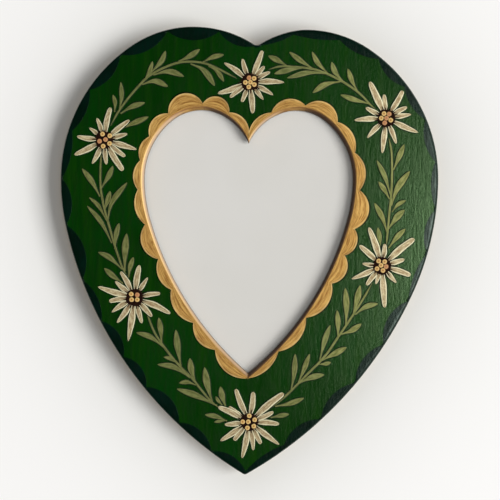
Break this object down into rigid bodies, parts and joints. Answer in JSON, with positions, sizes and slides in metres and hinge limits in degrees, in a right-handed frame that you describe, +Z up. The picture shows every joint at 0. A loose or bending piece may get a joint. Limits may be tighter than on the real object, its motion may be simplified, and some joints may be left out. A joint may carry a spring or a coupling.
{
  "type": "heart shaped photo frame",
  "caption": "Heart shaped wooden photo frame for the wall: painted board with a heart shaped opening, clear pane, card, backing held by turn buttons, and a ring hanger.",
  "frame": {"origin": "the point of the wall behind the inner top of the hanger's ring, where the nail sits", "axes": "+Z up, +Y into the wall, so the painted front faces -Y; X = 0 is the middle and +X is the right as seen from the front"},
  "size_m": [0.2, 0.0135, 0.2369],
  "materials": {
    "painted_wood": "satin paint, dark green with painted ornament",
    "clear_pane": "clear",
    "card": "matt white card",
    "backing": "brown hardboard",
    "steel": "zinc plated",
    "brass": "brassed",
    "rubber": "matt black"
  },
  "bodies": {
    "root": {"heart_frame": "painted_wood", "glazing_pane": "clear_pane", "photo_card": "card", "backing_board": "backing", "hanger_plate": "brass", "hanger_screw_upper": "brass", "hanger_screw_lower": "brass", "bumper_left": "rubber", "bumper_right": "rubber", "button_screw_upper_left": "steel", "button_screw_upper_right": "steel", "button_screw_left": "steel", "button_screw_right": "steel", "button_screw_bottom": "steel"},
    "button_upper_left": {"turn_button_upper_left": "steel"},
    "button_upper_right": {"turn_button_upper_right": "steel"},
    "button_left": {"turn_button_left": "steel"},
    "button_right": {"turn_button_right": "steel"},
    "button_bottom": {"turn_button_bottom": "steel"},
    "ring": {"hanger_ring": "brass"}
  },
  "joints": [
    {"name": "upper_left_swivel", "type": "hinge", "parent": "root", "child": "button_upper_left", "pos_m": [-0.02498, -0.0027, -0.0138], "axis": [0, 1, 0], "continuous": true},
    {"name": "upper_right_swivel", "type": "hinge", "parent": "root", "child": "button_upper_right", "pos_m": [0.02498, -0.0027, -0.0138], "axis": [0, 1, 0], "continuous": true},
    {"name": "left_swivel", "type": "hinge", "parent": "root", "child": "button_left", "pos_m": [-0.069, -0.0027, -0.0639], "axis": [0, 1, 0], "continuous": true},
    {"name": "right_swivel", "type": "hinge", "parent": "root", "child": "button_right", "pos_m": [0.069, -0.0027, -0.0639], "axis": [0, 1, 0], "continuous": true},
    {"name": "bottom_swivel", "type": "hinge", "parent": "root", "child": "button_bottom", "pos_m": [0, -0.0027, -0.1807], "axis": [0, 1, 0], "continuous": true},
    {"name": "ring_swing", "type": "hinge", "parent": "root", "child": "ring", "pos_m": [0, -0.00202, -0.0082], "axis": [-1, 0, 0], "range_deg": [0, 180]}
  ]
}
